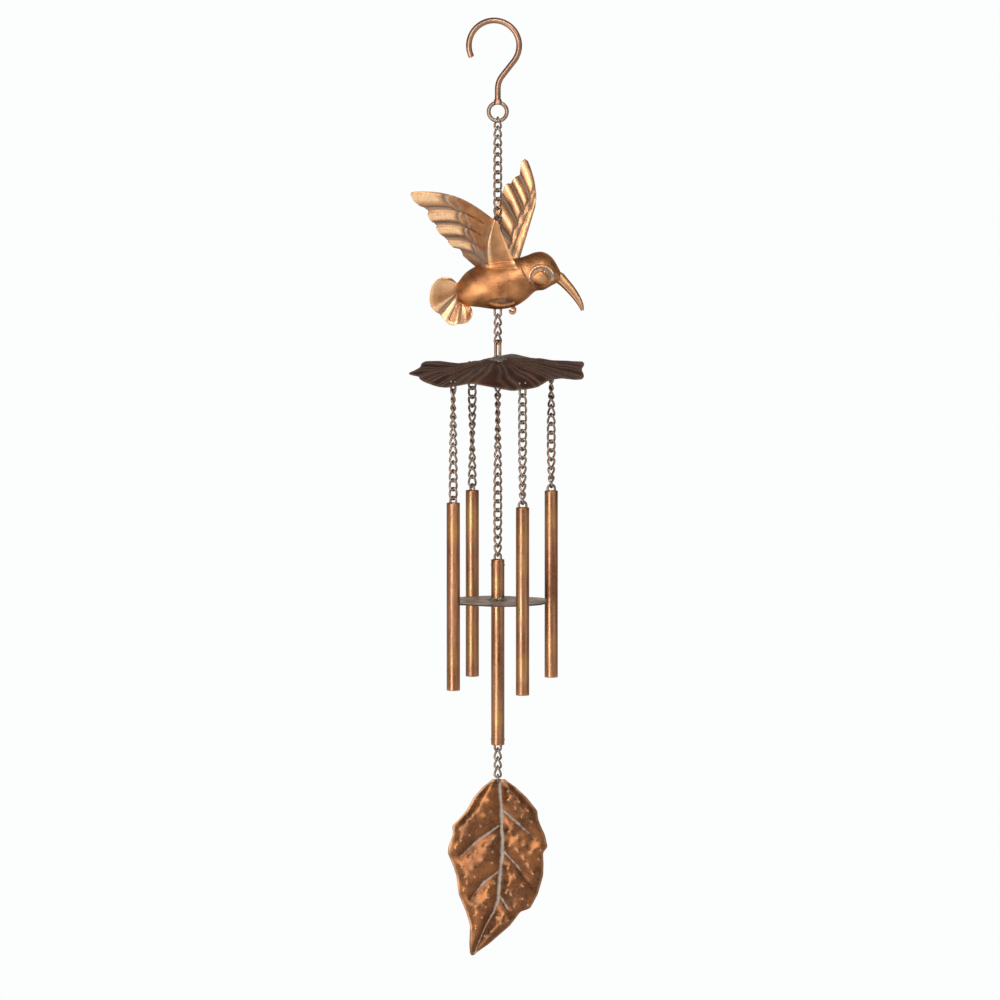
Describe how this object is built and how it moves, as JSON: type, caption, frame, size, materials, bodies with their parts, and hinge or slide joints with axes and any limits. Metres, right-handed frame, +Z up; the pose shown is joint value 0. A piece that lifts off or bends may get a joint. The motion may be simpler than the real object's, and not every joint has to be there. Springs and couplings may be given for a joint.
{
  "type": "wind chime",
  "caption": "Hanging metal garden wind chime with a hummingbird, a leaf canopy, tubes and a central striker disc on curb chains, and a leaf sail below",
  "frame": {"origin": "inside of the hook's crown, at the point where the chime hangs", "axes": "+Z up along the hanging line, +X to the right as the bird faces, front towards -Y"},
  "size_m": [0.1312, 0.1021, 0.7063],
  "materials": {
    "antique_copper": "antique copper plating with a satin lacquer",
    "antique_wire": "darkened brown-grey plating on steel wire",
    "dark_bronze": "dark bronze plating, semi-matt",
    "solder": "dull grey soft solder"
  },
  "bodies": {
    "hook": {"hook_rod": "antique_copper", "hook_ring": "antique_wire"},
    "upper_chain": {"upper_chain": "antique_wire"},
    "bird": {"bird_body_near": "antique_copper", "bird_body_far": "antique_copper", "bird_wing_near": "antique_copper", "bird_wing_far": "antique_copper", "bird_tail": "antique_copper", "bird_beak": "antique_copper", "bird_feet": "antique_copper", "bird_back_staple": "antique_wire", "bird_belly_eye": "antique_wire"},
    "lower_chain": {"lower_chain": "antique_wire"},
    "canopy": {"canopy_leaf": "dark_bronze", "canopy_loop": "antique_wire", "canopy_eyes": "antique_wire"},
    "tube_chain_1": {"tube_chain_1": "antique_wire"},
    "tube_1": {"chime_tube_1": "antique_copper", "tube_bail_1": "antique_wire"},
    "tube_chain_2": {"tube_chain_2": "antique_wire"},
    "tube_2": {"chime_tube_2": "antique_copper", "tube_bail_2": "antique_wire"},
    "tube_chain_3": {"tube_chain_3": "antique_wire"},
    "tube_3": {"chime_tube_3": "antique_copper", "tube_bail_3": "antique_wire"},
    "tube_chain_4": {"tube_chain_4": "antique_wire"},
    "tube_4": {"chime_tube_4": "antique_copper", "tube_bail_4": "antique_wire"},
    "striker_chain": {"striker_chain": "antique_wire"},
    "striker": {"striker_tube": "antique_copper", "striker_disc": "dark_bronze", "striker_solder": "solder", "striker_bail_top": "antique_wire", "striker_bail_bottom": "antique_wire"},
    "sail_chain": {"sail_chain": "antique_wire"},
    "sail": {"sail_leaf": "antique_copper", "sail_ring": "antique_wire"}
  },
  "joints": [
    {"name": "upper_chain_swing", "type": "hinge", "parent": "hook", "child": "upper_chain", "pos_m": [0, 0, -0.07291], "axis": [1, 0, 0], "range_deg": [-25, 25]},
    {"name": "bird_rock", "type": "hinge", "parent": "upper_chain", "child": "bird", "pos_m": [0, 0, -0.16606], "axis": [0, 1, 0], "range_deg": [-20, 20]},
    {"name": "lower_chain_swing", "type": "hinge", "parent": "bird", "child": "lower_chain", "pos_m": [0, 0, -0.22001], "axis": [1, 0, 0], "range_deg": [-20, 20]},
    {"name": "canopy_rock", "type": "hinge", "parent": "lower_chain", "child": "canopy", "pos_m": [0, 0, -0.23786], "axis": [0, 1, 0], "range_deg": [-12, 12]},
    {"name": "tube_chain_1_swing", "type": "hinge", "parent": "canopy", "child": "tube_chain_1", "pos_m": [-0.03328, -0.03103, -0.27395], "axis": [-0.682, 0.7314, 0], "range_deg": [0, 25]},
    {"name": "tube_1_swing", "type": "hinge", "parent": "tube_chain_1", "child": "tube_1", "pos_m": [-0.03328, -0.03103, -0.3523], "axis": [-0.682, 0.7314, 0], "range_deg": [0, 15]},
    {"name": "tube_chain_2_swing", "type": "hinge", "parent": "canopy", "child": "tube_chain_2", "pos_m": [0.01851, -0.04157, -0.27643], "axis": [-0.9135, -0.4067, 0], "range_deg": [0, 25]},
    {"name": "tube_2_swing", "type": "hinge", "parent": "tube_chain_2", "child": "tube_2", "pos_m": [0.01851, -0.04157, -0.35478], "axis": [-0.9135, -0.4067, 0], "range_deg": [0, 15]},
    {"name": "tube_chain_3_swing", "type": "hinge", "parent": "canopy", "child": "tube_chain_3", "pos_m": [0.04017, 0.02136, -0.26313], "axis": [0.4695, -0.8829, 0], "range_deg": [0, 25]},
    {"name": "tube_3_swing", "type": "hinge", "parent": "tube_chain_3", "child": "tube_3", "pos_m": [0.04017, 0.02136, -0.35018], "axis": [0.4695, -0.8829, 0], "range_deg": [0, 15]},
    {"name": "tube_chain_4_swing", "type": "hinge", "parent": "canopy", "child": "tube_chain_4", "pos_m": [-0.01923, 0.04124, -0.26463], "axis": [0.9063, 0.4226, 0], "range_deg": [0, 25]},
    {"name": "tube_4_swing", "type": "hinge", "parent": "tube_chain_4", "child": "tube_4", "pos_m": [-0.01923, 0.04124, -0.35168], "axis": [0.9063, 0.4226, 0], "range_deg": [0, 15]},
    {"name": "striker_chain_swing", "type": "hinge", "parent": "canopy", "child": "striker_chain", "pos_m": [0, 0, -0.25946], "axis": [0, 1, 0], "range_deg": [-0.6, 0.6]},
    {"name": "striker_swing", "type": "hinge", "parent": "striker_chain", "child": "striker", "pos_m": [0, 0, -0.39791], "axis": [1, 0, 0], "range_deg": [-2.5, 2.5]},
    {"name": "sail_chain_swing", "type": "hinge", "parent": "striker", "child": "sail_chain", "pos_m": [0, 0, -0.54711], "axis": [1, 0, 0], "range_deg": [-40, 40]},
    {"name": "sail_swing", "type": "hinge", "parent": "sail_chain", "child": "sail", "pos_m": [0, 0, -0.56526], "axis": [0, 1, 0], "range_deg": [-40, 40]}
  ]
}
